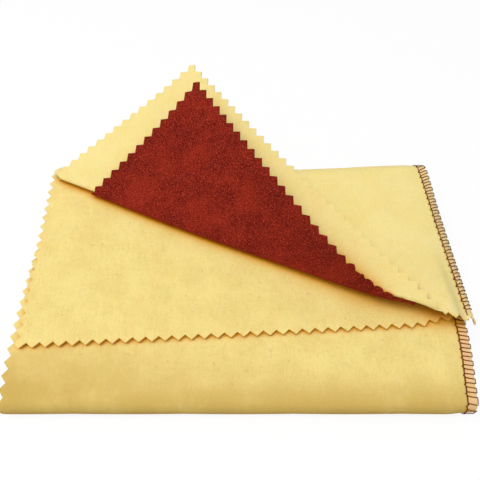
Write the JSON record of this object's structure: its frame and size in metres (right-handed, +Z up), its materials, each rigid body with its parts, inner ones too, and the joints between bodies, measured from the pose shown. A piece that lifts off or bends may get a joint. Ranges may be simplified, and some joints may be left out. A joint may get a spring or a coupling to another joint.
{
  "type": "jewelry polishing cloth",
  "caption": "Polishing cloth of two pinked flannel covers and a rouge insert, overlocked on one side, folded in three with a corner turned back.",
  "frame": {"origin": "middle of the bottom panel, on the surface that it lies on", "axes": "+X across the cloth from its pinked side to the seam, +Y to the back fold, +Z up"},
  "size_m": [0.2083, 0.1657, 0.0711],
  "materials": {
    "flannel": "brushed yellow cotton flannel",
    "rouge_flannel": "matt red cotton flannel, filled with rouge",
    "thread": "dark brown spun sewing thread"
  },
  "bodies": {
    "root": {"cover_top": "flannel", "rouge_insert": "rouge_flannel", "cover_bottom": "flannel", "needle_thread": "thread", "upper_looper_thread": "thread", "lower_looper_thread": "thread"}
  },
  "joints": []
}
